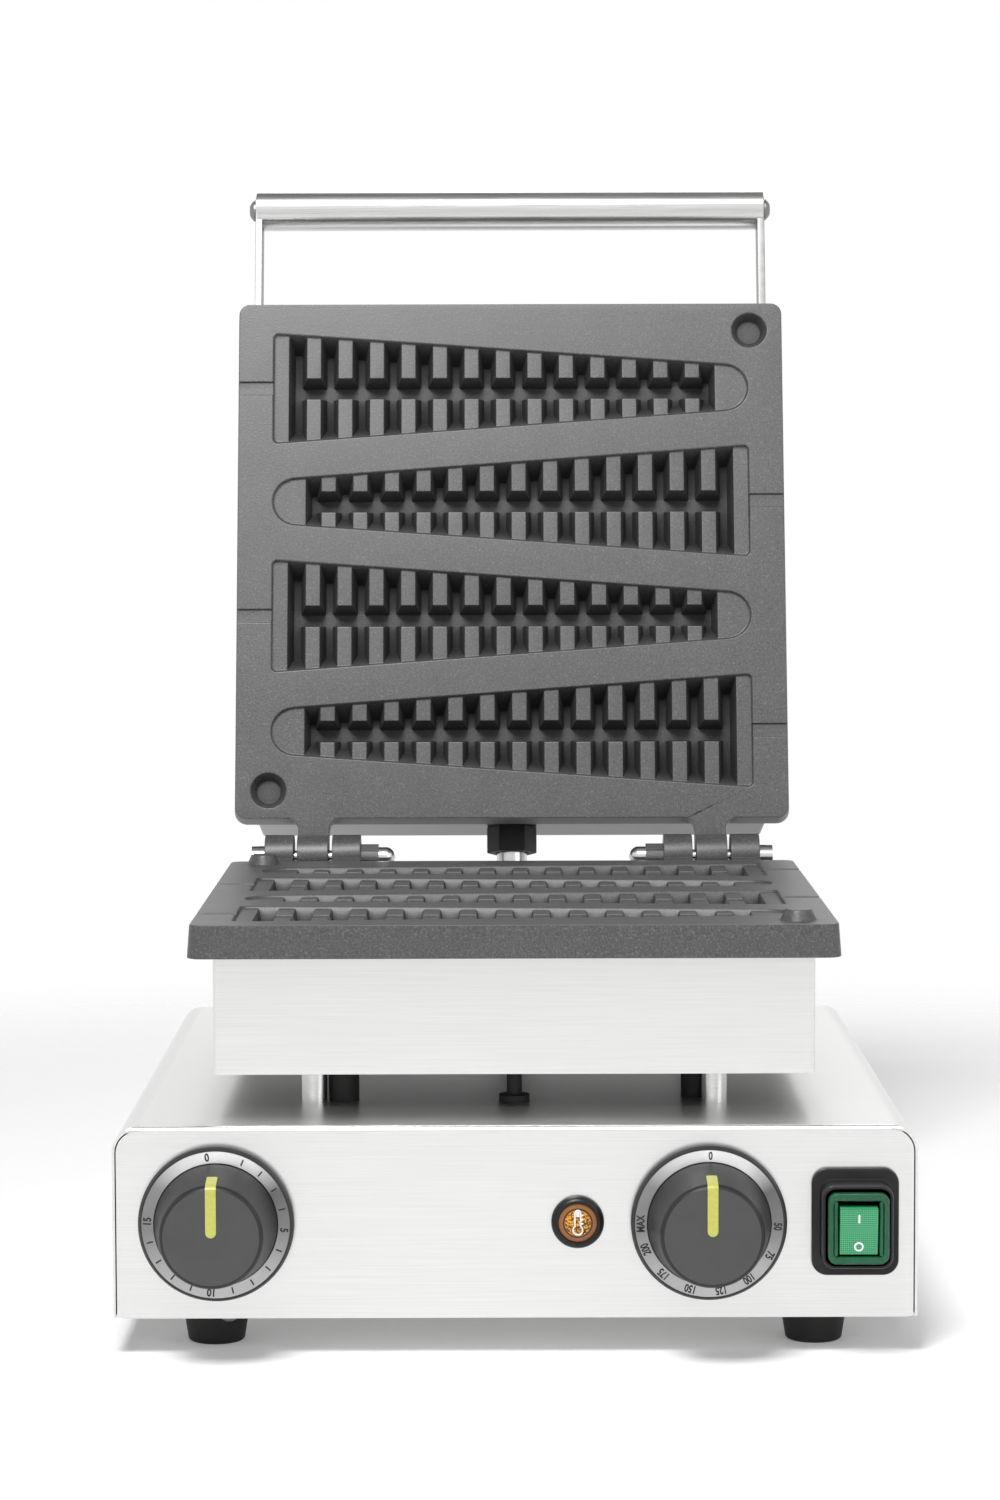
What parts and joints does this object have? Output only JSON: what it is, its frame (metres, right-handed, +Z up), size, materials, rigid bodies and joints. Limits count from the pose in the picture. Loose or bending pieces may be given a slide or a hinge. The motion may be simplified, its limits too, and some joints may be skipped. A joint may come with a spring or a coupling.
{
  "type": "stick waffle iron",
  "caption": "Electric stick waffle iron with toothed cast plates, a hinged lid with a round bar handle, and a steel base with a timer, thermostat, lamp and rocker switch.",
  "frame": {"origin": "on the table, below the middle of the object's box as it stands with the lid open", "axes": "+X to the viewer's right, +Y from the control panel to the back, +Z up"},
  "size_m": [0.305, 0.4354, 0.4669],
  "materials": {
    "sheet_steel": "brushed",
    "cast_plate": "cast, with a dark non-stick coat",
    "rubber": "matt",
    "bright_steel": "smooth",
    "heater_steel": "heat-tinted",
    "dial_black": "satin",
    "dial_silver": "satin",
    "pointer_lime": "satin",
    "lamp_amber": "clear",
    "control_case": "matt",
    "switch_black": "satin",
    "switch_clear_green": "clear boot",
    "switch_green": "satin",
    "hose_bright": "bright",
    "copper": "drawn"
  },
  "bodies": {
    "base": {"base_bottom_plate": "sheet_steel", "base_housing": "sheet_steel", "conduit_bush": "hose_bright", "conduit_hose": "hose_bright", "cover_screws": "bright_steel", "foot_front_left": "rubber", "foot_front_right": "rubber", "foot_rear_left": "rubber", "foot_rear_right": "rubber", "foot_screws": "bright_steel", "hinge_bolts": "bright_steel", "hinge_cap_nuts": "bright_steel", "hinge_nuts": "bright_steel", "lamp_bezel": "dial_black", "lamp_body": "control_case", "lamp_lens": "lamp_amber", "lower_box": "sheet_steel", "lower_clamp": "bright_steel", "lower_clamp_bolts": "bright_steel", "lower_heater": "heater_steel", "lower_plate": "cast_plate", "mains_gland": "control_case", "post_bolts": "bright_steel", "post_front_left": "bright_steel", "post_front_right": "bright_steel", "post_rear_left": "bright_steel", "post_rear_right": "bright_steel", "sensor_grommet": "rubber", "sensor_sleeve": "rubber", "switch_body": "control_case", "switch_boot": "switch_clear_green", "switch_frame": "switch_black", "thermostat_bezel": "dial_black", "thermostat_body": "control_case", "thermostat_capillary": "copper", "thermostat_dial": "dial_silver", "timer_bezel": "dial_black", "timer_body": "control_case", "timer_dial": "dial_silver", "wire_sleeve_left": "rubber", "wire_sleeve_right": "rubber"},
    "lid": {"arm_screws": "bright_steel", "conduit_nut": "control_case", "handle_arm_left": "bright_steel", "handle_arm_right": "bright_steel", "handle_bar": "bright_steel", "handle_screws": "bright_steel", "lid_box": "sheet_steel", "lid_screws": "bright_steel", "upper_clamp": "bright_steel", "upper_clamp_bolts": "bright_steel", "upper_heater": "heater_steel", "upper_plate": "cast_plate"},
    "timer_knob": {"timer_knob": "dial_black", "timer_pointer": "pointer_lime", "timer_shaft": "bright_steel"},
    "thermostat_knob": {"thermostat_knob": "dial_black", "thermostat_pointer": "pointer_lime", "thermostat_shaft": "bright_steel"},
    "rocker": {"switch_rocker": "switch_green"}
  },
  "joints": [
    {"name": "lid_hinge", "type": "hinge", "parent": "base", "child": "lid", "pos_m": [0, 0.09628, 0.1615], "axis": [1, 0, 0], "range_deg": [0, 104], "deforming": ["conduit_hose"]},
    {"name": "timer_turn", "type": "hinge", "parent": "base", "child": "timer_knob", "pos_m": [-0.113, -0.18742, 0.0515], "axis": [0, 1, 0], "range_deg": [0, 273]},
    {"name": "thermostat_turn", "type": "hinge", "parent": "base", "child": "thermostat_knob", "pos_m": [0.0733, -0.18742, 0.0515], "axis": [0, 1, 0], "range_deg": [0, 270]},
    {"name": "switch_tilt", "type": "hinge", "parent": "base", "child": "rocker", "pos_m": [0.1287, -0.19792, 0.0515], "axis": [-1, 0, 0], "range_deg": [0, 16]}
  ]
}
